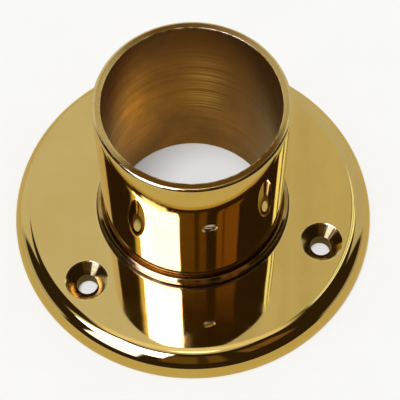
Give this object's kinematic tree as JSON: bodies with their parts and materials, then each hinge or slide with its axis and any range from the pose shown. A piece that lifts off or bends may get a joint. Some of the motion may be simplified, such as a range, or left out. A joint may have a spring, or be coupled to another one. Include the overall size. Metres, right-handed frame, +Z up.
{
  "type": "flag pole stand",
  "caption": "Round brass floor flange with a vertical open tube socket and a radial set screw that clamps a flag pole; the flat base has countersunk screw holes.",
  "frame": {"origin": "centre of the flange's underside, on the axis of the socket", "axes": "+Z up the socket's bore; the set screw is on the -Y side"},
  "size_m": [0.1142, 0.1142, 0.066],
  "materials": {
    "flange_brass": "mirror polished top and edge, turned underside",
    "tube_brass": "mirror polished outside, satin machined bore",
    "braze_metal": "polished brazed joint",
    "screw_steel": "plain turned steel with worn edges"
  },
  "bodies": {
    "stand": {"base_flange": "flange_brass", "socket_tube": "tube_brass", "braze_bead": "braze_metal"},
    "screw": {"set_screw": "screw_steel"}
  },
  "joints": [
    {"name": "set_screw_travel", "type": "slide", "parent": "stand", "child": "screw", "axis": [0, 1, 0], "range_m": [-0.0025, 0.0006]}
  ]
}
